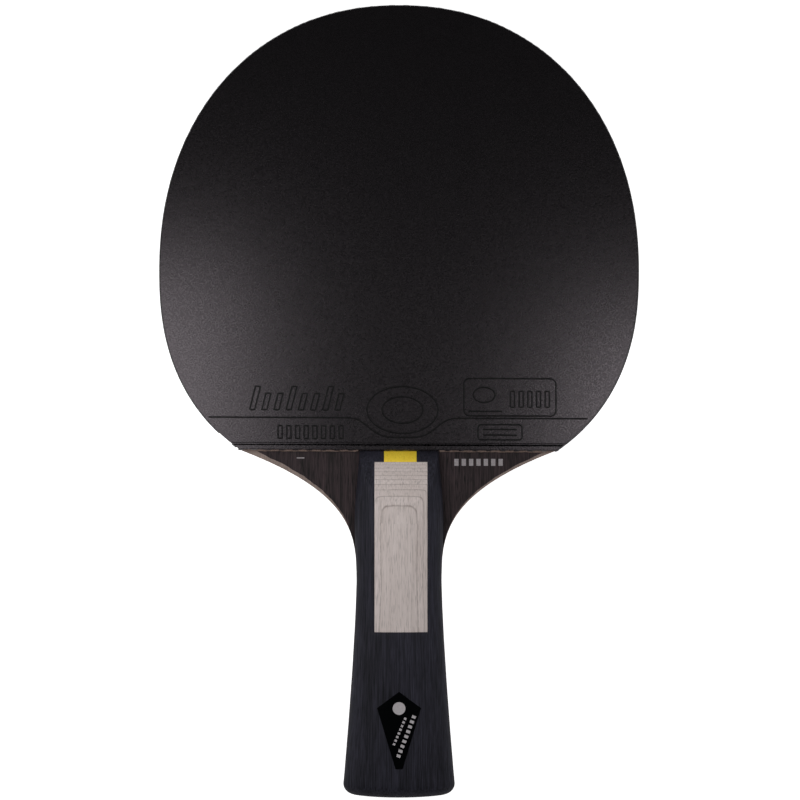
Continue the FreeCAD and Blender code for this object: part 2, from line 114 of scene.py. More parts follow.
def wood(name, pale, dark, fibre_axis, roughness, relief, contrast=1.0, pores=0.3, shine=0.35):
    """Sanded wood: fine fibres along one axis over broader growth rings.

    The colour runs from dark to pale with a noise drawn out along the fibres, plus half as
    much of a broad one, and the same fibres give the surface its relief, in millimetres.
    The deepest values of a shorter noise are open pores, which darken it further.
    """
    material, tree, shader = new_material(name)
    place = add_node(tree, "ShaderNodeTexCoord").outputs["Object"]
    fibre_scale = [1 / (FIBRE_WIDTH * MM)] * 3
    fibre_scale[fibre_axis] = 1 / (FIBRE_LENGTH * MM)
    ring_scale = [1 / (RING_WIDTH * MM)] * 3
    ring_scale[fibre_axis] = 1 / (RING_WIDTH * 12 * MM)
    fibre_place = add_node(tree, "ShaderNodeMapping", {"Vector": place, "Scale": fibre_scale})
    ring_place = add_node(tree, "ShaderNodeMapping", {"Vector": place, "Scale": ring_scale})
    fibres = add_node(tree, "ShaderNodeTexNoise", {
        "Vector": fibre_place.outputs["Vector"], "Scale": 1.0, "Detail": 3.0, "Roughness": 0.6})
    rings = add_node(tree, "ShaderNodeTexNoise", {
        "Vector": ring_place.outputs["Vector"], "Scale": 1.0, "Detail": 2.0, "Roughness": 0.5})
    blend = add_node(tree, "ShaderNodeMath", {
        0: rings.outputs["Fac"], 1: 0.5, 2: fibres.outputs["Fac"]}, operation="MULTIPLY_ADD")
    spread = add_node(tree, "ShaderNodeMapRange", {
        "Value": blend.outputs[0], "From Min": 0.75 - 0.35 / contrast,
        "From Max": 0.75 + 0.35 / contrast})
    colour = add_node(tree, "ShaderNodeMix", {
        0: spread.outputs["Result"], 6: linear(dark), 7: linear(pale)}, data_type="RGBA")
    pore_scale = [1 / (PORE_WIDTH * MM)] * 3
    pore_scale[fibre_axis] = 1 / (PORE_LENGTH * MM)
    pore_place = add_node(tree, "ShaderNodeMapping", {"Vector": place, "Scale": pore_scale})
    specks = add_node(tree, "ShaderNodeTexNoise", {
        "Vector": pore_place.outputs["Vector"], "Scale": 1.0, "Detail": 2.0})
    depth = add_node(tree, "ShaderNodeMapRange", {
        "Value": specks.outputs["Fac"], "From Min": 0.52, "From Max": 0.68, "To Max": pores})
    shaded = [channel * 0.35 for channel in linear(dark)[:3]] + [1.0]
    pored = add_node(tree, "ShaderNodeMix", {
        0: depth.outputs["Result"], 6: colour.outputs[2], 7: shaded}, data_type="RGBA")
    tree.links.new(pored.outputs[2], shader.inputs["Base Color"])
    add_relief(tree, shader, fibres.outputs["Fac"], relief)
    shader.inputs["Roughness"].default_value = roughness
    shader.inputs["Specular IOR Level"].default_value = shine
    return material


def dress(node_name, material):
    """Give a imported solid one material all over."""
    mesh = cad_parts[node_name].data
    mesh.materials.clear()
    mesh.materials.append(material)


core_wood = wood("ayous_sawn_edge", CORE_WOOD_PALE, CORE_WOOD_DARK, 1, 0.62, 0.03)
middle_wood = wood("limba_cross_ply", MIDDLE_WOOD_PALE, MIDDLE_WOOD_DARK, 0, 0.62, 0.03)
dress("core_ply", core_wood)
dress("front_middle_ply", middle_wood)
dress("rear_middle_ply", middle_wood)

# ---- Blade: face plies ----------------------------------------------------------------------
# Thin veneers stained almost black, grain along the handle. The rim of the neck is sanded by
# hand after staining, which cuts a pale bevel through the stain, wide at the shoulders and
# fading out towards the handle, and a little wider on the left.

WIDEST_HEIGHT = 56.9
SHOULDER_WIDTH = 99.2
HEAD_TOP_FULLNESS = 2.15
HEAD_BASE_FULLNESS = 2.35
NECK_LENGTH = 41.4
WAIST_WIDTH = 27.0
BUTT_WIDTH = 36.0
FLARE_POWER = 1.35
BUTT_BOW = 1.0
BUTT_ROUND = 4.0
SANDED_LEFT = 1.55
SANDED_RIGHT = 0.95
SANDED_LENGTH = 25.0
SANDED_SLOPE = 0.36
STAIN_DARK = "#0E0A0B"
STAIN_PALE = "#433538"
FACE_WOOD_PALE = "#A39289"
FACE_WOOD_DARK = "#6E5F59"


def box_mm(node_name):
    """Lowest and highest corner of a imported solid, in millimetres."""
    low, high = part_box(node_name)
    return np.array(low) / MM, np.array(high) / MM


blade_low, blade_high = box_mm("core_ply")
half_head = blade_high[0]
tip_y = blade_high[1]
butt_y = blade_low[1]
middle_z = (blade_low[2] + blade_high[2]) / 2
handle_y = box_mm("front_end_tab")[1][1]
handle_length = handle_y - butt_y
widest_y = handle_y + WIDEST_HEIGHT
face_z = box_mm("front_face_ply")[1][2]


def oval(angle, grow=0.0):
    """Points of the head's oval at angles from +X: two half superellipses of one width.

    x = a cos^(2/n), y = b sin^(2/n), with the lower b chosen so that it meets the shoulders.
    """
    upper = np.sin(angle) >= 0
    power = np.where(upper, HEAD_TOP_FULLNESS, HEAD_BASE_FULLNESS)
    shoulder = SHOULDER_WIDTH / 2 / half_head
    lower_reach = WIDEST_HEIGHT / (1 - shoulder ** HEAD_BASE_FULLNESS) ** (1 / HEAD_BASE_FULLNESS)
    reach = np.where(upper, tip_y - widest_y, lower_reach) + grow
    x = (half_head + grow) * np.sign(np.cos(angle)) * np.abs(np.cos(angle)) ** (2 / power)
    y = reach * np.sign(np.sin(angle)) * np.abs(np.sin(angle)) ** (2 / power)
    return np.stack([x, widest_y + y], axis=-1)


def grip_half_width(down):
    """Half width of the flared handle below the waist: a power curve of the distance down."""
    flared = np.clip((down - NECK_LENGTH) / (handle_length - NECK_LENGTH), 0, None)
    return (WAIST_WIDTH + (BUTT_WIDTH - WAIST_WIDTH) * flared ** FLARE_POWER) / 2


def butt_rise(x):
    """Height of the bowed butt above its lowest line, a circular arc across the handle."""
    half_width = BUTT_WIDTH / 2
    radius = (half_width ** 2 + BUTT_BOW ** 2) / (2 * BUTT_BOW)
    return radius - np.sqrt(radius ** 2 - x ** 2)


def blade_outline():
    """Plan of the blade, anticlockwise from the middle of the butt.

    The right side is the butt's arc, a round corner, the flare, the cubic of the neck and the
    oval up to the tip, and the left side is its mirror image.
    """
    corner_x = grip_half_width(handle_length - BUTT_ROUND) - BUTT_ROUND
    corner_y = butt_y + butt_rise(corner_x) + BUTT_ROUND
    butt_x = np.linspace(0, corner_x, 12, endpoint=False)
    butt = np.stack([butt_x, butt_y + butt_rise(butt_x)], axis=-1)
    turn = np.linspace(-np.pi / 2, 0, 12, endpoint=False)
    corner = np.stack([corner_x + BUTT_ROUND * np.cos(turn),
                       corner_y + BUTT_ROUND * np.sin(turn)], axis=-1)
    down = np.linspace(handle_y - corner_y, NECK_LENGTH, 50, endpoint=False)
    flare = np.stack([grip_half_width(down), handle_y - down], axis=-1)
    down = np.linspace(NECK_LENGTH, 0, 60, endpoint=False)
    neck_x = (WAIST_WIDTH + (SHOULDER_WIDTH - WAIST_WIDTH) * (1 - down / NECK_LENGTH) ** 3) / 2
    neck = np.stack([neck_x, handle_y - down], axis=-1)
    shoulder = np.arccos((SHOULDER_WIDTH / 2 / half_head) ** (HEAD_BASE_FULLNESS / 2))
    head = oval(np.linspace(-shoulder, np.pi / 2, 150))
    right = np.concatenate([butt, corner, flare, neck, head])
    left = right[-2:0:-1] * (-1, 1)
    return np.concatenate([right, left])


def outward(outline):
    """Unit normals of an anticlockwise outline, from each point's two neighbours."""
    along = np.roll(outline, -1, axis=0) - np.roll(outline, 1, axis=0)
    along /= np.linalg.norm(along, axis=1, keepdims=True)
    return np.stack([along[:, 1], -along[:, 0]], axis=-1)


def make_piece(name, points, faces, materials, face_materials=None, smooth=True):
    """Mesh object from points in millimetres, riding on the paddle's only body."""
    mesh = bpy.data.meshes.new(name)
    mesh.from_pydata((np.asarray(points) * MM).tolist(), [], faces)
    for material in materials:
        mesh.materials.append(material)
    if face_materials is not None:
        mesh.polygons.foreach_set("material_index", face_materials)
    mesh.polygons.foreach_set("use_smooth", [smooth] * len(mesh.polygons))
    mesh.update()
    piece = bpy.data.objects.new(name, mesh)
    bpy.context.collection.objects.link(piece)
    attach(piece, "root")
    return piece


def ring_faces(loops, count, start=0):
    """Quads between each closed loop of points and the next, given in upward order."""
    low = np.arange(loops - 1)[:, None] * count + np.arange(count)[None, :] + start
    following = np.arange(loops - 1)[:, None] * count + (np.arange(count) + 1)[None, :] % count
    following = following + start
    quads = np.stack([low, following, following + count, low + count], axis=-1)
    return quads.reshape(-1, 4).tolist()


def layered_rim(outline, profile, start=0):
    """Closed flat layer: an edge profile carried round an outline, and a cap on each side.

    The profile is a list of (inset, height), from the lower cap up to the upper one, where an
    inset is a distance in from the outline, or an array with one for each of its points.
    """
    normals = outward(outline)
    loops = [np.column_stack([outline - normals * np.reshape(inset, (-1, 1)),
                              np.broadcast_to(height, len(outline))])
             for inset, height in profile]
    count = len(outline)
    faces = ring_faces(len(loops), count, start)
    lower = list(range(start + count - 1, start - 1, -1))
    upper = list(range(start + (len(loops) - 1) * count, start + len(loops) * count))
    return np.concatenate(loops), faces + [lower, upper]


def front_and_rear(points, faces):
    """A shell on the front of the blade and its mirror image on the rear, each with its side."""
    flipped = np.array(points, dtype=float)
    flipped[:, 2] = 2 * middle_z - flipped[:, 2]
    return [("front", points, faces), ("rear", flipped, [face[::-1] for face in faces])]


def sanded_width(outline):
    """Width of the pale bevel at each point: widest at a shoulder, none on head and handle."""
    down = handle_y - outline[:, 1]
    fade = np.clip(1 - down / SANDED_LENGTH, 0, 1) ** 0.8 * (down > -0.5)
    widest = np.where(outline[:, 0] < 0, SANDED_LEFT, SANDED_RIGHT)
    wobble = 1 + 0.10 * np.sin(outline[:, 1] * 1.7) + 0.06 * np.sin(outline[:, 1] * 4.3 + 1)
    return widest * fade * wobble + 0.03


outline = blade_outline()
stained_veneer = wood("stained_koto_veneer", STAIN_PALE, STAIN_DARK, 1, 0.65, 0.035, 1.4, 0.9, 0.25)
bare_veneer = wood("koto_sanded_bare", FACE_WOOD_PALE, FACE_WOOD_DARK, 1, 0.6, 0.03)
ply_base = box_mm("front_face_ply")[0][2]
bevel = sanded_width(outline)
bevel_depth = np.minimum(bevel * SANDED_SLOPE, 0.54)
ply_points, ply_faces = layered_rim(outline, [
    (0.0, ply_base), (0.0, face_z - bevel_depth), (0.3 * bevel, face_z - 0.62 * bevel_depth),
    (0.7 * bevel, face_z - 0.2 * bevel_depth), (bevel, face_z)])
cap_colour = [1] * (len(ply_faces) - 1) + [0]
for side, points, faces in front_and_rear(ply_points, ply_faces):
    veneer = make_piece(f"{side}_veneer", points, faces, [stained_veneer, bare_veneer],
                        cap_colour, smooth=False)
    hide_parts(f"{side}_face_ply")

# ---- Rubber: glue film and sponge -------------------------------------------------------------
# Dried water-based glue holds a slab of fine-celled foam to the veneer. The foam is cut with
# the sheet but left a little long below it, so a pale lip shows each side of the handle.

GLUE_PALE = "#CFC6AE"
GLUE_DARK = "#A59C86"
FOAM_PALE = "#A08B80"
FOAM_DARK = "#6E5B54"
FOAM_CELL = 0.28
RUBBER_GAP = 0.3
RUBBER_SKEW = np.radians(0.27)
SPONGE_LIP = 0.55
NOTCH_HALF_WIDTH = 12.9


def mottled(name, spot, first, second, **noise):
    """Material whose colour runs from one to another with a noise as wide as a spot in mm.

    Gives the material, its node tree and shader, and the place on the object.
    """
    material, tree, shader = new_material(name)
    place = add_node(tree, "ShaderNodeTexCoord").outputs["Object"]
    spots = add_node(tree, "ShaderNodeTexNoise", {
        "Vector": place, "Scale": 1 / (spot * MM), **noise}).outputs["Fac"]
    colour = add_node(tree, "ShaderNodeMix", {
        0: spots, 6: linear(first), 7: linear(second)}, data_type="RGBA")
    tree.links.new(colour.outputs[2], shader.inputs["Base Color"])
    return material, tree, shader, place


# Dried latex: a milky film with thicker, yellower clouds a millimetre wide and a soft shine.
glue_film, tree, shader, place = mottled("dried_latex_glue", 0.8, GLUE_DARK, GLUE_PALE)
shader.inputs["Roughness"].default_value = 0.4
dress("front_glue_film", glue_film)
dress("rear_glue_film", glue_film)

# Cut foam: open cells a quarter of a millimetre across, dark inside and pale on their walls.
foam, tree, shader = new_material("cut_pu_foam")
place = add_node(tree, "ShaderNodeTexCoord").outputs["Object"]
cells = add_node(tree, "ShaderNodeTexVoronoi", {"Vector": place, "Scale": 1 / (FOAM_CELL * MM)})
blotches = add_node(tree, "ShaderNodeTexNoise", {"Vector": place, "Scale": 1 / (2.5 * MM)})
tone = add_node(tree, "ShaderNodeMath", {
    0: blotches.outputs["Fac"], 1: 0.5, 2: cells.outputs["Distance"]}, operation="MULTIPLY_ADD")
colour = add_node(tree, "ShaderNodeMix", {
    0: tone.outputs[0], 6: linear(FOAM_PALE), 7: linear(FOAM_DARK)}, data_type="RGBA")
tree.links.new(colour.outputs[2], shader.inputs["Base Color"])
add_relief(tree, shader, cells.outputs["Distance"], 0.08, invert=True)
shader.inputs["Roughness"].default_value = 0.9


def rubber_line(x, above):
    """Height in plan of a line across the head, turned by the skew, above the rubber's end."""
    return handle_y + RUBBER_GAP + above - np.tan(RUBBER_SKEW) * x


def clipped(shape, above, side=1, step=0.6):
    """The part of an anticlockwise outline over a skewed line, or under it for a side of -1.

    Points are added along the line where it closes the shape.
    """
    over = side * (shape[:, 1] - rubber_line(shape[:, 0], above))
    first = np.flatnonzero((over > 0) & (np.roll(over, 1) <= 0))[0]
    turned, height = np.roll(shape, -first, axis=0), np.roll(over, -first)
    last = np.flatnonzero(height > 0)[-1]
    share = height[last] / (height[last] - height[last + 1])
    leave = turned[last] + (turned[last + 1] - turned[last]) * share
    share = height[0] / (height[0] - height[-1])
    enter = turned[0] + (turned[-1] - turned[0]) * share
    cut_x = np.linspace(leave[0], enter[0], int(abs(enter[0] - leave[0]) / step) + 1)
    cut = np.stack([cut_x, rubber_line(cut_x, above)], axis=-1)
    return np.concatenate([turned[:last + 1], cut])


def ragged(shape, depth, seed):
    """An outline pushed in and out by a few unrelated waves, as a knife leaves soft foam."""
    generator = np.random.default_rng(seed)
    travel = np.cumsum(np.linalg.norm(shape - np.roll(shape, 1, axis=0), axis=1))
    offset = np.zeros(len(shape))
    for wavelength in (1.9, 3.1, 5.3, 11.0):
        offset += np.sin(travel * 2 * np.pi / wavelength + generator.uniform(0, 6.28))
    return shape + outward(shape) * (offset * depth / 4)[:, None]


sponge_outline = ragged(clipped(outline, -SPONGE_LIP, step=0.35), 0.12, 3)
behind_handle = (np.abs(sponge_outline[:, 0]) < NOTCH_HALF_WIDTH) & (sponge_outline[:, 1] < widest_y)
end_of_sheet = rubber_line(sponge_outline[:, 0], 0.1)
sponge_outline[behind_handle, 1] = np.maximum(sponge_outline[:, 1], end_of_sheet)[behind_handle]
sponge_low, sponge_high = box_mm("front_sponge")
sponge_points, sponge_faces = layered_rim(sponge_outline, [
    (0.08, sponge_low[2]), (0.02, sponge_low[2] + 0.12), (0.06, sponge_low[2] + 1.0),
    (0.02, sponge_high[2] - 0.2), (0.16, sponge_high[2])])
for side, points, faces in front_and_rear(sponge_points, sponge_faces):
    sponge = make_piece(f"{side}_foam", points, faces, [foam])
    sponge.data.set_sharp_from_angle(angle=np.radians(40))
    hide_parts(f"{side}_sponge")

# ---- Rubber: topsheet --------------------------------------------------------------------------
# Vulcanised black rubber, moulded with pimples on its back and glued to the foam by them. The
# knife that trims it slants outwards, so cut pimples stand past the sheet. A groove marks off
# the flange strip at its end, and plain moulded signs stand a hair proud above it.

SHEET_THICKNESS = 1.0
SKIN_THICKNESS = 0.25
FLANGE_HEIGHT = 1.8
GROOVE_WIDTH = 0.3
PIMPLE_PITCH = 2.52
PIMPLE_RADIUS = 0.8
PIMPLE_TIP_RADIUS = 0.9
PIMPLE_FOOT_RADIUS = 0.98
PIMPLE_BAND = 5.0
KNIFE_SLANT = 0.3
LINE_WIDTH = 0.5
LINE_HEIGHT = 0.1
GRAIN_WIDTH = 0.5
GRAIN_HEIGHT = 0.028
RUBBER_BLACK = "#141314"
RUBBER_GREY = "#1A181A"
# Darker than the sheet's black: painted shade along the moulded lines.
SHADED_LINE_BLACK = "#060606"

# A new sheet is faintly mottled. Its grip comes from a grain finer than a tenth of a millimetre,
# drawn several times as coarse here so that it breaks up the sheen.
rubber, tree, shader, place = mottled(
    "vulcanised_natural_rubber", 6.0, RUBBER_BLACK, RUBBER_GREY, Detail=6.0, Roughness=0.65)
grain = add_node(tree, "ShaderNodeTexNoise", {
    "Vector": place, "Scale": 1 / (GRAIN_WIDTH * MM), "Detail": 3.0, "Roughness": 0.6})
add_relief(tree, shader, grain.outputs["Fac"], GRAIN_HEIGHT)
gloss = add_node(tree, "ShaderNodeMapRange", {
    "Value": grain.outputs["Fac"], "From Min": 0.3, "From Max": 0.7,
    "To Min": 0.22, "To Max": 0.34})
tree.links.new(gloss.outputs["Result"], shader.inputs["Roughness"])
shader.inputs["Specular Tint"].default_value = (1.0, 0.89, 0.96, 1.0)

# The moulded signs come from etched lines in the mould, so they are dull; their colour is darker than
# the sheet's, painted shade along the raised lines, and so they stay dark in a sheen.
dull_shaded_rubber, tree, shader, place = mottled(
    "vulcanised_rubber_etched_mould_painted_shade", GRAIN_WIDTH, SHADED_LINE_BLACK, RUBBER_BLACK)
shader.inputs["Roughness"].default_value = 0.6
shader.inputs["Specular IOR Level"].default_value = 0.16

sheet_low, sheet_high = box_mm("front_topsheet")
sheet_top = sheet_high[2]
sheet_base = sheet_top - SHEET_THICKNESS
skin_base = sheet_top - SKIN_THICKNESS
rubber_points = []
rubber_faces = []
rubber_finish = []


def join(points, faces, finish=0):
    """Add a closed shell to the topsheet, glossy for a finish of 0, and dull with painted shade for 1.
    """
    start = sum(len(part) for part in rubber_points)
    rubber_points.append(points)
    rubber_faces.extend([[corner + start for corner in face] for face in faces])
    rubber_finish.extend([finish] * len(faces))


sheet_outline = clipped(outline, 0.0)
join(*layered_rim(sheet_outline, [
    (0.5, sheet_base), (0.02, sheet_base), (0.0, sheet_base + 0.1), (0.03, skin_base)]))
main_skin = clipped(outline, FLANGE_HEIGHT + GROOVE_WIDTH)
join(*layered_rim(main_skin, [
    (0.03, skin_base), (0.06, sheet_top - 0.14), (0.12, sheet_top - 0.05),
    (0.24, sheet_top), (0.4, sheet_top)]))
flange = clipped(sheet_outline, FLANGE_HEIGHT, side=-1)
join(*layered_rim(flange, [
    (0.03, skin_base), (0.06, sheet_top - 0.14), (0.12, sheet_top - 0.05),
    (0.24, sheet_top), (0.4, sheet_top)]))
pimple_base = sheet_low[2]
bed = clipped(oval(np.linspace(-np.pi, np.pi, 160, endpoint=False), -PIMPLE_BAND), PIMPLE_BAND)
join(*layered_rim(bed, [(0.0, pimple_base), (0.0, sheet_base)]))


def past_edge(points):
    """How far points lie outside the sheet's outline, and its normal at the nearest point."""
    gaps = points[:, None, :] - sheet_outline[None, :, :]
    nearest = np.argmin((gaps ** 2).sum(axis=2), axis=1)
    normals = outward(sheet_outline)[nearest]
    return ((points - sheet_outline[nearest]) * normals).sum(axis=1), normals


def pimple_field(sides=12):
    """Short pillars on a hexagonal grid, along the edge of the sheet, and cut off by it.

    Columns stand 0.87 of the pitch apart and every other one is half a pitch lower. A point
    past the slanting knife's path is moved back on to it.
    """
    column, row = np.meshgrid(np.arange(-40, 41), np.arange(-40, 41), indexing="ij")
    across = column * PIMPLE_PITCH * np.sqrt(3) / 2
    up = (row + 0.5 * (column % 2)) * PIMPLE_PITCH + widest_y
    centres = np.stack([across.ravel(), up.ravel()], axis=-1)
    outside, _ = past_edge(centres)
    centres = centres[(outside < 0.55) & (outside > -PIMPLE_BAND)]
    turn = np.arange(sides) * 2 * np.pi / sides
    circle = np.stack([np.cos(turn), np.sin(turn)], axis=-1)
    depth = sheet_base - pimple_base
    levels = [(pimple_base, PIMPLE_TIP_RADIUS), (pimple_base + 0.15 * depth, PIMPLE_RADIUS),
              (pimple_base + 0.75 * depth, PIMPLE_RADIUS), (sheet_base, PIMPLE_FOOT_RADIUS)]
    points = []
    for height, radius in levels:
        rim = (centres[:, None, :] + circle[None, :, :] * radius).reshape(-1, 2)
        outside, normals = past_edge(rim)
        allowed = KNIFE_SLANT * (sheet_base - height) / depth
        rim = rim - normals * np.maximum(outside - allowed, 0)[:, None]
        points.append(np.column_stack([rim, np.full(len(rim), height)]))
    points = np.stack(points).reshape(len(levels), len(centres), sides, 3).transpose(1, 0, 2, 3)
    one = ring_faces(len(levels), sides)
    one += [list(range(sides - 1, -1, -1)), list(range((len(levels) - 1) * sides, len(levels) * sides))]
    each = len(levels) * sides
    faces = [[corner + index * each for corner in face]
             for index in range(len(centres)) for face in one]
    return points.reshape(-1, 3), faces


join(*pimple_field())


def swept_faces(stations, around, closed=False):
    """Faces of a section carried along a path, joined end to start or capped at both ends."""
    faces = (np.array(ring_faces(stations + closed, around))[:, ::-1] % (stations * around)).tolist()
    if not closed:
        last = (stations - 1) * around
        faces += [list(range(around)), list(range(last + around - 1, last - 1, -1))]
    return faces


def moulded_ridge(path, closed=False):
    """Low ridge on the sheet along a path given as (across, up from the rubber's end).

    Its section is a dome a tenth of a millimetre high that starts just under the surface.
    """
    path = np.asarray(path, dtype=float)
    if closed:
        along = np.roll(path, -1, axis=0) - np.roll(path, 1, axis=0)
    else:
        along = np.gradient(path, axis=0)
    along /= np.linalg.norm(along, axis=1, keepdims=True)
    normal = np.stack([along[:, 1], -along[:, 0]], axis=-1)
    dome = [(0.5, -0.5), (0.5, 0.0), (0.38, 0.25), (0.2, 0.8), (0.0, 1.0),
            (-0.2, 0.8), (-0.38, 0.25), (-0.5, 0.0), (-0.5, -0.5)]
    rings = []
    for share, lift in dome:
        side = path + normal * share * LINE_WIDTH
        rings.append(np.column_stack([side[:, 0], rubber_line(side[:, 0], side[:, 1]),
                                      np.full(len(side), sheet_top + lift * LINE_HEIGHT)]))
    points = np.stack(rings, axis=1)
    join(points.reshape(-1, 3), swept_faces(len(path), len(dome), closed), finish=1)


def bar(start, end):
    """Straight moulded line between two points."""
    moulded_ridge(np.linspace(start, end, 8))


def block_row(left, low, count, step, lengths, slant, thickness):
    """Row of plain outlined blocks, upright or slanted, their lengths taken in turn."""
    for index in range(count):
        x = left + index * step
        length = lengths[index % len(lengths)]
        lean = slant * length
        corners = np.array([(x, low), (x + thickness, low), (x + thickness + lean, low + length),
                            (x + lean, low + length), (x, low)])
        sides = [np.linspace(corners[side], corners[side + 1], 4, endpoint=False) for side in range(4)]
        moulded_ridge(np.concatenate(sides), closed=True)


def ring(across, up, half_width, half_height):
    """Oval ridge round a point."""
    turn = np.linspace(0, 2 * np.pi, 72, endpoint=False)
    circle = np.column_stack([across + half_width * np.cos(turn), up + half_height * np.sin(turn)])
    moulded_ridge(circle, closed=True)


def rounded_frame(left, right, low, high, radius):
    """Rectangular ridge with round corners, as four quarter circles joined by straight runs."""
    corners = []
    centres = [(right - radius, high - radius), (left + radius, high - radius),
               (left + radius, low + radius), (right - radius, low + radius)]
    for index, (x, y) in enumerate(centres):
        turn = np.linspace(0, np.pi / 2, 7) + index * np.pi / 2
        corners.append(np.column_stack([x + radius * np.cos(turn), y + radius * np.sin(turn)]))
    moulded_ridge(np.concatenate(corners), closed=True)


# The border line dips under the middle sign, in the shape of exp(-x^4). Its signs stand above it
# and on the strip below it: outlined blocks at the left, ovals in the middle, frames at the right.
SIGN_CENTRE = 1.1
BORDER_HEIGHT = 10.2
border_x = np.linspace(-60.2, 59.6, 240)
border_dip = 6.2 * np.exp(-((border_x - SIGN_CENTRE) / 11.56) ** 4)
moulded_ridge(np.column_stack([border_x, BORDER_HEIGHT - border_dip]))
for half_width, half_height in ((11.2, 7.4), (6.4, 4.2)):
    ring(SIGN_CENTRE, 12.7, half_width, half_height)
block_row(-47.2, 12.6, 8, 3.85, (7.4, 5.2, 5.2), 0.25, 1.6)
block_row(-38.2, 3.6, 8, 2.75, (4.0,), 0.0, 1.3)
rounded_frame(20.5, 49.6, 11.0, 22.8, 1.8)
ring(26.9, 17.6, 3.4, 2.4)
bar((21.9, 12.4), (32.6, 12.4))
block_row(35.2, 13.8, 5, 2.75, (5.0,), 0.0, 1.3)
rounded_frame(25.0, 38.9, 3.4, 8.2, 1.0)
for up in (6.7, 4.9):
    bar((26.6, up), (37.3, up))

for side, points, faces in front_and_rear(np.concatenate(rubber_points), rubber_faces):
    sheet = make_piece(f"{side}_rubber", points, faces, [rubber, dull_shaded_rubber], rubber_finish)
    sheet.data.set_sharp_from_angle(angle=np.radians(35))
    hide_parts(f"{side}_topsheet")

# ---- Edge tape ---------------------------------------------------------------------------------
# Black foil with a foam back, stuck on the rim of the head after the rubbers are trimmed, from
# the right shoulder round the tip to a little above the left one, with slightly wavy edges.

TAPE_THICKNESS = 0.35
TAPE_SHORT_END = 6.3
PEBBLE_WIDTH = 0.3
TAPE_BLACK = "#121214"
TAPE_WORN = "#232226"

# Soft PVC with a fine pebble rolled into it, scuffed a little paler in patches.
tape_foil, tree, shader, place = mottled(
    "embossed_pvc_foil", 1.5, TAPE_BLACK, TAPE_WORN, Detail=5.0, Roughness=0.7)
pebble = add_node(tree, "ShaderNodeTexNoise", {"Vector": place, "Scale": 1 / (PEBBLE_WIDTH * MM)})
add_relief(tree, shader, pebble.outputs["Fac"], 0.02)
shader.inputs["Roughness"].default_value = 0.45

tape_low, tape_high = box_mm("edge_tape")
shoulder_angle = np.arccos((SHOULDER_WIDTH / 2 / half_head) ** (HEAD_BASE_FULLNESS / 2))
tape_angles = np.linspace(-shoulder_angle, np.pi + shoulder_angle, 420)
tape_path = oval(tape_angles)
tape_path = tape_path[(tape_path[:, 0] > 0) | (tape_path[:, 1] > handle_y + TAPE_SHORT_END)]
along = np.gradient(tape_path, axis=0)
along /= np.linalg.norm(along, axis=1, keepdims=True)
tape_normal = np.stack([along[:, 1], -along[:, 0]], axis=-1)
travel = np.cumsum(np.linalg.norm(np.diff(tape_path, axis=0, prepend=tape_path[:1]), axis=1))
wave = 0.06 * np.sin(travel / 9.0) + 0.04 * np.sin(travel / 3.7 + 2)
# The section, from the rim's lower edge up: how proud of the rim, as a share of the tape's
# thickness, how far in from the tape's edge, and whether that is the lower or the upper edge.
tape_section = [(0.0, 0.0, -1), (0.55, 0.0, -1), (0.9, 0.15, -1), (1.0, 0.6, -1),
                (1.0, 0.6, 1), (0.9, 0.15, 1), (0.55, 0.0, 1), (0.0, 0.0, 1)]
rings = []
for proud, inward, edge in tape_section:
    rim = tape_path + tape_normal * proud * TAPE_THICKNESS
    height = tape_low[2] + inward if edge < 0 else tape_high[2] - inward
    rings.append(np.column_stack([rim, height + wave]))
tape_points = np.stack(rings, axis=1).reshape(-1, 3)
tape = make_piece("rim_tape", tape_points, swept_faces(len(tape_path), len(rings)), [tape_foil])
tape.data.set_sharp_from_angle(angle=np.radians(50))
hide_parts("edge_tape")

# ---- Handle: dyed scales with pale inlay, end blocks and tab ------------------------------------
# Each side of the handle is glued up from dyed strips and a stack of pale veneers, shaped as
# one block to a crowned, flared section and sanded. A bevel cut towards the head runs down
# through the pale veneers, so their glue lines show as nested arches.

GRIP_TOP_WIDTH = 25.1
GRIP_SWELL = 0.8
GRIP_THICKNESS = 22.8
CROWN_FULLNESS = 2.4
BEVEL_LENGTH = 23.0
END_HEIGHT = 1.5
EDGE_BLEND = 0.22
SEAM_WIDTH = 0.14
SEAM_DEPTH = 0.06
LAMINATION = 0.5
LAMINATION_WAVE = 0.07
FIRST_GLUE_LINE = 0.085
DYED_DARK = "#101016"
DYED_PALE = "#34333F"
INLAY_PALE = "#E0D5D2"
INLAY_DARK = "#C3B6B1"
INLAY_GLUE = "#8F827C"
YELLOW_PALE = "#FFE44A"
YELLOW_DARK = "#F0C62E"

crown_z = middle_z + GRIP_THICKNESS / 2
butt_crown_z = box_mm("front_handle_scale")[1][2]
inlay_low, inlay_high = box_mm("front_inlay")
tab_low, tab_high = box_mm("front_end_tab")
end_block_length = handle_y - inlay_high[1]
inlay_end = handle_y - inlay_low[1]


def scale_half_width(down):
    """Half width of a handle scale: swelling above the waist, flared below it."""
    part = np.clip(down / NECK_LENGTH, 0, 1)
    pinch = (WAIST_WIDTH - GRIP_TOP_WIDTH) / 2
    above = GRIP_SWELL * np.sin(np.pi * part) ** 2 - pinch * (1 - part) ** 2
    return grip_half_width(down) + above


def scale_rise(down):
    """Height of the crown over the blade's face, growing with the flare."""
    flared = np.clip((down - NECK_LENGTH) / (handle_length - NECK_LENGTH), 0, None)
    return crown_z - face_z + (butt_crown_z - crown_z) * flared ** FLARE_POWER


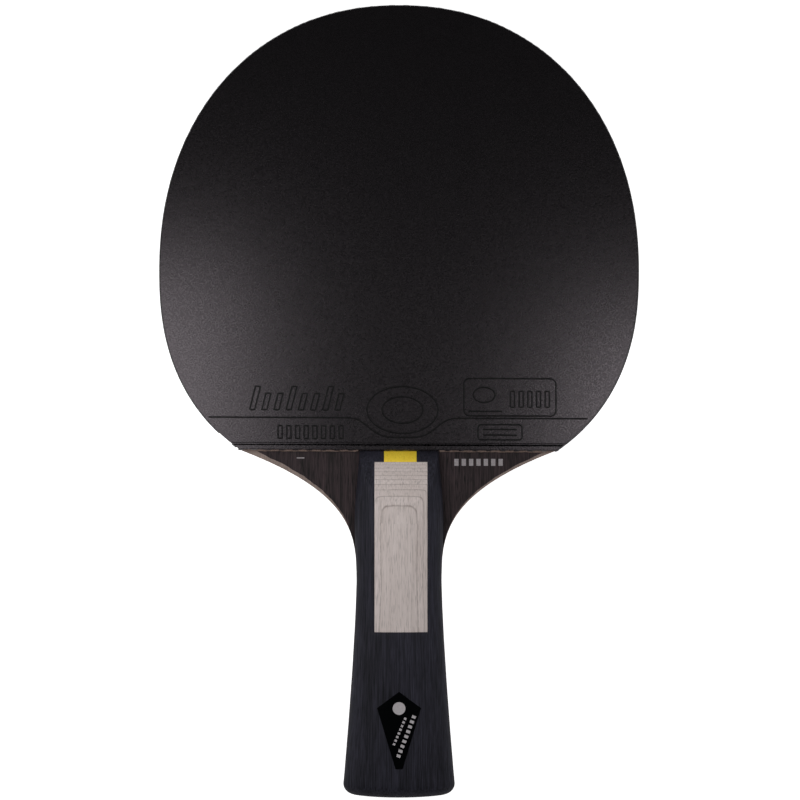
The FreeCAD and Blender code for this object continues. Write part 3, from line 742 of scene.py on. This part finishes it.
def scale_surface(down, left, right, columns):
    """Grid of points on a scale, rows down the handle and columns from left to right.

    A section is a half superellipse on the blade's face, cut off softly by the bevel's arc and
    drawn in towards the butt as a quarter circle. Left and right are places across, and
    infinity stands for the side of the scale. Columns are even in the superellipse's angle.
    """
    over_end = np.clip(down - (handle_length - BUTT_ROUND), 0, BUTT_ROUND)
    drawn_in = BUTT_ROUND - np.sqrt(BUTT_ROUND ** 2 - over_end ** 2)
    half = scale_half_width(down) - drawn_in
    rise = scale_rise(down) - drawn_in
    share = np.clip(np.array([[left], [right]]) / half, -1, 1)
    limits = np.arccos(np.sign(share) * np.abs(share) ** (CROWN_FULLNESS / 2))
    angle = limits[0][:, None] + (limits[1] - limits[0])[:, None] * np.linspace(0, 1, columns)
    x = half[:, None] * np.sign(np.cos(angle)) * np.abs(np.cos(angle)) ** (2 / CROWN_FULLNESS)
    height = rise[:, None] * np.abs(np.sin(angle)) ** (2 / CROWN_FULLNESS)
    drop = crown_z - face_z - END_HEIGHT
    radius = (BEVEL_LENGTH ** 2 + drop ** 2) / (2 * drop)
    reach = np.clip(BEVEL_LENGTH - down, 0, None)
    bevelled = (crown_z - face_z - radius + np.sqrt(radius ** 2 - reach ** 2))[:, None]
    bevelled = np.where(reach[:, None] > 0, bevelled, 99.0)
    blended = -EDGE_BLEND * np.logaddexp(-height / EDGE_BLEND, -bevelled / EDGE_BLEND)
    height = np.where(height > EDGE_BLEND, blended, np.minimum(height, bevelled))
    ramp = np.clip((down - handle_length + 12) / 12, 0, 1) ** 2
    y = handle_y - down[:, None] + butt_rise(x) * ramp[:, None]
    return np.stack([x, y, face_z + np.maximum(height, 0)], axis=-1)


def solid_grid(top, kept=None, base=None):
    """Closed solid under a grid of points: the grid, its shadow on the blade and the walls.

    Cells that aren't kept leave a hole, with walls of its own.
    """
    rows, columns = top.shape[:2]
    bottom = top.copy()
    bottom[..., 2] = face_z if base is None else base
    kept = np.ones((rows - 1, columns - 1), bool) if kept is None else kept
    index = np.arange(rows * columns).reshape(rows, columns)
    a, b = index[:-1, :-1], index[:-1, 1:]
    c, d = index[1:, 1:], index[1:, :-1]
    upper = np.stack([a, d, c, b], axis=-1)[kept]
    lower = upper[:, ::-1] + rows * columns
    padded = np.pad(kept, 1)
    walls = []
    for shift, first, second in (((-1, 0), a, b), ((1, 0), c, d), ((0, -1), d, a), ((0, 1), b, c)):
        beside = np.roll(padded, (-shift[0], -shift[1]), axis=(0, 1))[1:-1, 1:-1]
        edge = kept & ~beside
        one, two = first[edge], second[edge]
        walls.append(np.stack([one, two, two + rows * columns, one + rows * columns], axis=-1))
    faces = np.concatenate([upper, lower, *walls])
    used, faces = np.unique(faces, return_inverse=True)
    points = np.concatenate([top.reshape(-1, 3), bottom.reshape(-1, 3)])[used]
    return points, faces.reshape(-1, 4).tolist()


def seam_line(down, place, sunk):
    """One column of points at a place across, sunk into the seam where it borders a strip."""
    line = scale_surface(down, place, place, 2)[:, :1]
    line[..., 2] -= SEAM_DEPTH * sunk[:, None]
    return line


def strip_top(down, left, right, columns, sunk):
    """Surface of a strip, with a sunk line along each side that isn't the side of the scale."""
    parts = [scale_surface(down, left + SEAM_WIDTH, right - SEAM_WIDTH, columns)]
    if np.isfinite(left):
        parts.insert(0, seam_line(down, left, sunk))
    if np.isfinite(right):
        parts.append(seam_line(down, right, sunk))
    return np.concatenate(parts, axis=1)


def rows_between(start, end, step, ends=2):
    """Distances down from start to end, with one more line close inside each seam."""
    inner = np.linspace(start + SEAM_WIDTH, end - SEAM_WIDTH * (ends == 2),
                        int((end - start) / step) + 2)
    return np.concatenate([[start], inner, [end]]) if ends == 2 else np.concatenate([[start], inner])


def block_top(start, end, left, right, columns, step=0.45):
    """Surface of a strip that ends in a seam at both ends of its length."""
    down = rows_between(start, end, step)
    top = strip_top(down, left, right, columns, np.ones(len(down)))
    top[[0, -1], :, 2] -= SEAM_DEPTH
    return top


def joined_shells(*shells):
    """Points and faces of several closed shells as one piece."""
    points, faces, start = [], [], 0
    for shell_points, shell_faces in shells:
        points.append(shell_points)
        faces += [[corner + start for corner in face] for face in shell_faces]
        start += len(shell_points)
    return np.concatenate(points), faces


def both_sides(name, shell, material, node_name):
    """A handle strip on the front of the tang and its twin on the rear."""
    for side, points, faces in front_and_rear(*shell):
        piece = make_piece(f"{side}_{name}", points, faces, [material])
        editing = bmesh.new()
        editing.from_mesh(piece.data)
        bmesh.ops.remove_doubles(editing, verts=editing.verts, dist=0.002 * MM)
        editing.to_mesh(piece.data)
        editing.free()
        piece.data.set_sharp_from_angle(angle=np.radians(38))
        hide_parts(f"{side}_{node_name}")


SIDE = np.inf
slot_rows = rows_between(end_block_length, inlay_end, 0.7)
plain_rows = np.linspace(inlay_end + SEAM_WIDTH, handle_length - BUTT_ROUND, 40)
round_rows = handle_length - BUTT_ROUND * (1 - np.sin(np.linspace(0, np.pi / 2, 12)[1:]))
scale_rows = np.concatenate([slot_rows, plain_rows, round_rows])
in_slot = scale_rows < inlay_end + SEAM_WIDTH / 2
left_leg = strip_top(scale_rows, -SIDE, inlay_low[0], 26, in_slot)
across_inlay = scale_surface(scale_rows, inlay_low[0], inlay_high[0], 26)[:, 1:-1]
right_leg = strip_top(scale_rows, inlay_high[0], SIDE, 26, in_slot)
scale_top = np.concatenate([left_leg, across_inlay, right_leg], axis=1)
last_slot_row = len(slot_rows) - 1
scale_top[0, :, 2] -= SEAM_DEPTH
scale_top[last_slot_row, left_leg.shape[1]:-right_leg.shape[1], 2] -= SEAM_DEPTH
kept = np.ones((scale_top.shape[0] - 1, scale_top.shape[1] - 1), bool)
kept[:last_slot_row, left_leg.shape[1] - 1:scale_top.shape[1] - right_leg.shape[1]] = False

dyed_wood = wood("dyed_basswood_oiled", DYED_PALE, DYED_DARK, 1, 0.65, 0.03, 1.5, 0.4, 0.2)
both_sides("scale", solid_grid(scale_top, kept), dyed_wood, "handle_scale")
left_block = solid_grid(block_top(0.0, end_block_length, -SIDE, tab_low[0], 24))
right_block = solid_grid(block_top(0.0, end_block_length, tab_high[0], SIDE, 24))
both_sides("blocks", joined_shells(left_block, right_block), dyed_wood, "end_blocks")

yellow_wood = wood("dyed_maple_yellow", YELLOW_PALE, YELLOW_DARK, 1, 0.6, 0.02, 0.8, 0.15)
both_sides("yellow_strip", solid_grid(block_top(0.0, end_block_length, tab_low[0], tab_high[0], 14)),
           yellow_wood, "end_tab")

# Pale veneers half a millimetre thick: each its own tone, with a thin darker glue line
# wherever the shaped surface cuts from one to the next.
pale_veneers = wood("maple_laminate_sanded", INLAY_PALE, INLAY_DARK, 1, 0.6, 0.02, 1.2, 0.5)
tree = pale_veneers.node_tree
shader = tree.nodes["Principled BSDF"]
grain_colour = shader.inputs["Base Color"].links[0].from_socket
place = add_node(tree, "ShaderNodeTexCoord").outputs["Object"]
height = add_node(tree, "ShaderNodeSeparateXYZ", {"Vector": place}).outputs["Z"]
from_middle = add_node(tree, "ShaderNodeMath", {0: height, 1: middle_z * MM}, operation="SUBTRACT")
from_middle = add_node(tree, "ShaderNodeMath", {0: from_middle.outputs[0]}, operation="ABSOLUTE")
uneven = add_node(tree, "ShaderNodeTexNoise", {"Vector": place, "Scale": 1 / (1.6 * MM), "Detail": 3.0})
from_middle = add_node(tree, "ShaderNodeMath", {
    0: uneven.outputs["Fac"], 1: LAMINATION_WAVE * MM, 2: from_middle.outputs[0]},
    operation="MULTIPLY_ADD")
top_line = GRIP_THICKNESS / 2 + FIRST_GLUE_LINE
layers = add_node(tree, "ShaderNodeMapRange", {
    "Value": from_middle.outputs[0], "From Min": top_line * MM,
    "From Max": (top_line - LAMINATION) * MM}, clamp=False)
part = add_node(tree, "ShaderNodeMath", {0: layers.outputs["Result"]}, operation="FRACT")
centred = add_node(tree, "ShaderNodeMath", {0: part.outputs[0], 1: 0.5}, operation="SUBTRACT")
away = add_node(tree, "ShaderNodeMath", {0: centred.outputs[0]}, operation="ABSOLUTE")
line = add_node(tree, "ShaderNodeMapRange", {
    "Value": away.outputs[0], "From Min": 0.4, "From Max": 0.5, "To Min": 0.0, "To Max": 1.4})
below = add_node(tree, "ShaderNodeMath", {
    0: layers.outputs["Result"], 1: 0.5}, operation="GREATER_THAN")
glue_line = add_node(tree, "ShaderNodeMath", {
    0: line.outputs["Result"], 1: below.outputs[0]}, operation="MULTIPLY")
patchy = add_node(tree, "ShaderNodeMath", {
    0: glue_line.outputs[0], 1: uneven.outputs["Fac"]}, operation="MULTIPLY", use_clamp=True)
whole = add_node(tree, "ShaderNodeMath", {0: layers.outputs["Result"]}, operation="FLOOR")
tone = add_node(tree, "ShaderNodeTexWhiteNoise", {"W": whole.outputs[0]}, noise_dimensions="1D")
tone = add_node(tree, "ShaderNodeMapRange", {
    "Value": tone.outputs["Value"], "To Min": 0.0, "To Max": 0.35})
toned = add_node(tree, "ShaderNodeMix", {
    0: tone.outputs["Result"], 6: grain_colour, 7: linear(INLAY_DARK)}, data_type="RGBA")
glued = add_node(tree, "ShaderNodeMix", {
    0: patchy.outputs[0], 6: toned.outputs[2], 7: linear(INLAY_GLUE)}, data_type="RGBA")
tree.links.new(glued.outputs[2], shader.inputs["Base Color"])
both_sides("pale_inlay", solid_grid(block_top(end_block_length, inlay_end, inlay_low[0], inlay_high[0],
                                              40, 0.6)), pale_veneers, "inlay")

# ---- Badge --------------------------------------------------------------------------------------
# A thin kite of black lacquered metal, bowed to lie on the crown near the butt and let in by
# half its thickness. It carries only a plain disc and two slanted rows of blocks in pale enamel.

BADGE_BOW_RADIUS = 37.25
BADGE_SHOULDER = 5.1
BADGE_TIP_WIDTH = 2.2
BADGE_THICKNESS = 0.5
ENAMEL_HEIGHT = 0.04
LACQUER_BLACK = "#040506"
ENAMEL_PALE = "#C8C3C6"
ENAMEL_WORN = "#A9A4A6"

badge_low, badge_high = box_mm("handle_badge")
badge_half = (badge_high[0] - badge_low[0]) / 2
badge_length = badge_high[1] - badge_low[1]


def on_badge(x, y, lift=0.0):
    """Points on the badge's face, a cylinder along the handle, raised by a lift."""
    drop = BADGE_BOW_RADIUS - np.sqrt(BADGE_BOW_RADIUS ** 2 - x ** 2)
    return np.stack([x, y, badge_high[2] - drop + lift], axis=-1)


from_top = np.array([0.0, 0.25, 1.0, 2.0, 3.0, 4.0, BADGE_SHOULDER])
from_top = np.concatenate([from_top, np.linspace(BADGE_SHOULDER, badge_length, 24)[1:]])
half_width = np.interp(from_top, [0, BADGE_SHOULDER, badge_length],
                       [0.05, badge_half, BADGE_TIP_WIDTH / 2])
share = np.concatenate([[-1], np.linspace(-1, 1, 15) * 0.96, [1]])
kite_x = half_width[:, None] * share
kite = on_badge(kite_x, np.broadcast_to(badge_high[1] - from_top[:, None], kite_x.shape))

# Baked lacquer: deep black and almost a mirror, with a faint haze from handling.
lacquer, tree, shader = new_material("black_lacquered_brass")
place = add_node(tree, "ShaderNodeTexCoord").outputs["Object"]
haze = add_node(tree, "ShaderNodeTexNoise", {"Vector": place, "Scale": 1 / (2 * MM), "Detail": 4.0})
gloss = add_node(tree, "ShaderNodeMapRange", {
    "Value": haze.outputs["Fac"], "To Min": 0.12, "To Max": 0.16})
tree.links.new(gloss.outputs["Result"], shader.inputs["Roughness"])
shader.inputs["Base Color"].default_value = linear(LACQUER_BLACK)

# Soft enamel: a thin pale fill, worn greyer in spots, with a dull shine.
enamel, tree, shader, place = mottled("pale_enamel_fill", 0.6, ENAMEL_PALE, ENAMEL_WORN)
shader.inputs["Roughness"].default_value = 0.35

badge = make_piece("kite_badge", *solid_grid(kite, base=kite[..., 2] - BADGE_THICKNESS), [lacquer])
badge.data.set_sharp_from_angle(angle=np.radians(60))
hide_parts("handle_badge")


def enamel_bar(start, end, width):
    """Slanted strip of enamel between two points of the badge's face."""
    start, end = np.array(start, float), np.array(end, float)
    along = (end - start) / np.linalg.norm(end - start)
    normal = np.array([-along[1], along[0]])
    run = np.linspace(0, 1, 5)[:, None, None]
    side = np.linspace(-0.5, 0.5, 4)[None, :, None]
    places = start + (end - start) * run + normal * side * width
    top = on_badge(places[..., 0], places[..., 1], ENAMEL_HEIGHT)
    return solid_grid(top, base=top[..., 2] - 2 * ENAMEL_HEIGHT)


def enamel_disc(centre, radius):
    """Round spot of enamel, as a polar grid whose first ring is almost a point."""
    out = np.linspace(0.02, 1, 6)[:, None] * radius
    turn = np.linspace(0, 2 * np.pi, 33)[None, :]
    x = centre[0] + out * np.cos(turn)
    y = centre[1] + out * np.sin(turn)
    top = on_badge(x, y, ENAMEL_HEIGHT)
    return solid_grid(top, base=top[..., 2] - 2 * ENAMEL_HEIGHT)


def enamel_row(start, end, count, height):
    """Row of plain upright blocks along a slanted line of the badge's face."""
    start, end = np.array(start, float), np.array(end, float)
    step = (end - start) / count
    return [enamel_bar(start + step * index, start + step * (index + 0.55), height)
            for index in range(count)]


disc_y = badge_high[1] - BADGE_SHOULDER - 0.1
signs = joined_shells(enamel_disc((0.0, disc_y), 2.0),
                      *enamel_row((-0.3, disc_y - 15.4), (5.1, disc_y - 1.6), 9, 1.3),
                      *enamel_row((-1.7, disc_y - 11.6), (2.3, disc_y - 2.4), 8, 0.8))
marks = make_piece("badge_marks", *signs, [enamel])
marks.data.set_sharp_from_angle(angle=np.radians(40))

# ---- Print on the wing --------------------------------------------------------------------------
# Plain blocks of pale ink, stamped on the stained veneer under the right of the rubber, and one
# short dash under its left.

INK_HEIGHT = 0.012
INK_PALE = "#B9B2B5"
INK_WORN = "#7A7376"

# Stamped ink: matt and thin, so that the dark veneer shows through it in spots.
ink, tree, shader, place = mottled("pale_stamping_ink", 0.5, INK_PALE, INK_WORN, Detail=3.0)
shader.inputs["Roughness"].default_value = 0.6


def ink_line(left, right, y, width):
    """Flat strip of ink between two places across, centred on a height in plan."""
    x, across = np.meshgrid(np.linspace(left, right, 4), y + np.array([0.5, -0.5]) * width)
    top = np.stack([x, across, np.full(x.shape, face_z + INK_HEIGHT)], axis=-1)
    return solid_grid(top, base=face_z - INK_HEIGHT)


print_blocks = [ink_line(left, left + 1.35, handle_y - 3.6, 2.2)
                for left in np.linspace(17.5, 31.5, 7)]
print_lines = joined_shells(*print_blocks, ink_line(-32.4, -30.0, handle_y - 2.2, 0.35))
wing_print = make_piece("wing_print", *print_lines, [ink], smooth=False)

# ---- Floor and light ----------------------------------------------------------------------------
# The paddle lies on the rear crown, where the handle's bevel starts, and on the far rim of the
# head. A soft panel over each lower side of the head brightens it there and leaves the top dark.

FLOOR_SIZE = 4000.0
FLOOR_GAP = 0.05
head_rear_z = box_mm("rear_topsheet")[0][2]
rest_y = handle_y - BEVEL_LENGTH
rest_z = 2 * middle_z - crown_z
floor_rise = (head_rear_z - rest_z) / (tip_y - rest_y)
corner_x, corner_y = np.meshgrid([-FLOOR_SIZE, FLOOR_SIZE], [-FLOOR_SIZE, FLOOR_SIZE])
corner_z = rest_z + (corner_y - rest_y) * floor_rise - FLOOR_GAP
corners = np.stack([corner_x, corner_y, corner_z], axis=-1).reshape(-1, 3) * MM
floor_mesh = bpy.data.meshes.new("floor")
floor_mesh.from_pydata(corners.tolist(), [], [[0, 1, 3, 2]])
floor_paper, tree, shader = new_material("white_paper_sweep")
shader.inputs["Base Color"].default_value = linear("#F4F4F4")
shader.inputs["Roughness"].default_value = 0.9
camera_ray = add_node(tree, "ShaderNodeLightPath").outputs["Is Camera Ray"]
glow = add_node(tree, "ShaderNodeMapRange", {"Value": camera_ray, "To Min": 0.15, "To Max": 0.95})
tree.links.new(glow.outputs["Result"], shader.inputs["Emission Strength"])
shader.inputs["Emission Color"].default_value = (1.0, 1.0, 1.0, 1.0)
floor_mesh.materials.append(floor_paper)
floor = bpy.data.objects.new("floor", floor_mesh)
bpy.context.collection.objects.link(floor)


def soft_light(name, place, size, power):
    """Square panel at a place in metres that faces the middle of the paddle."""
    data = bpy.data.lights.new(name, "AREA")
    data.shape = "SQUARE"
    data.size = size
    data.energy = power
    lamp = bpy.data.objects.new(name, data)
    lamp.location = place
    lamp.rotation_mode = "QUATERNION"
    lamp.rotation_quaternion = (-Vector(place)).to_track_quat("-Z", "Y")
    lamp.visible_camera = False
    bpy.context.collection.objects.link(lamp)


soft_light("left_light", (-0.102, -0.007, 0.173), 0.106, 0.14)
soft_light("right_light", (0.100, -0.014, 0.224), 0.072, 0.10)

world = bpy.data.worlds.new("studio")
bpy.context.scene.world = world
world.use_nodes = True
tree = world.node_tree
ray = add_node(tree, "ShaderNodeLightPath")
sky = add_node(tree, "ShaderNodeTexCoord").outputs["Generated"]
height = add_node(tree, "ShaderNodeSeparateXYZ", {"Vector": sky}).outputs["Z"]
strength = add_node(tree, "ShaderNodeMapRange", {
    "Value": height, "From Min": 0.1, "From Max": 0.75, "To Min": 1.0, "To Max": 0.01})
# Mirrored light is dimmer than the fill, as in a room with pale walls only far away.
mirrored_share = add_node(tree, "ShaderNodeMapRange", {
    "Value": ray.outputs["Is Glossy Ray"], "To Min": 1.0, "To Max": 0.35})
dimmed = add_node(tree, "ShaderNodeMath", {
    0: strength.outputs["Result"], 1: mirrored_share.outputs["Result"]}, operation="MULTIPLY")
room = tree.nodes["Background"]
room.inputs["Color"].default_value = (1.0, 1.0, 1.0, 1.0)
tree.links.new(dimmed.outputs[0], room.inputs["Strength"])
seen = add_node(tree, "ShaderNodeBackground", {"Color": (1.0, 1.0, 1.0, 1.0), "Strength": 1.0})
both = add_node(tree, "ShaderNodeMixShader", {
    0: ray.outputs["Is Camera Ray"], 1: room.outputs["Background"], 2: seen.outputs["Background"]})
tree.links.new(both.outputs["Shader"], tree.nodes["World Output"].inputs["Surface"])
bpy.context.scene.view_settings.view_transform = "Standard"
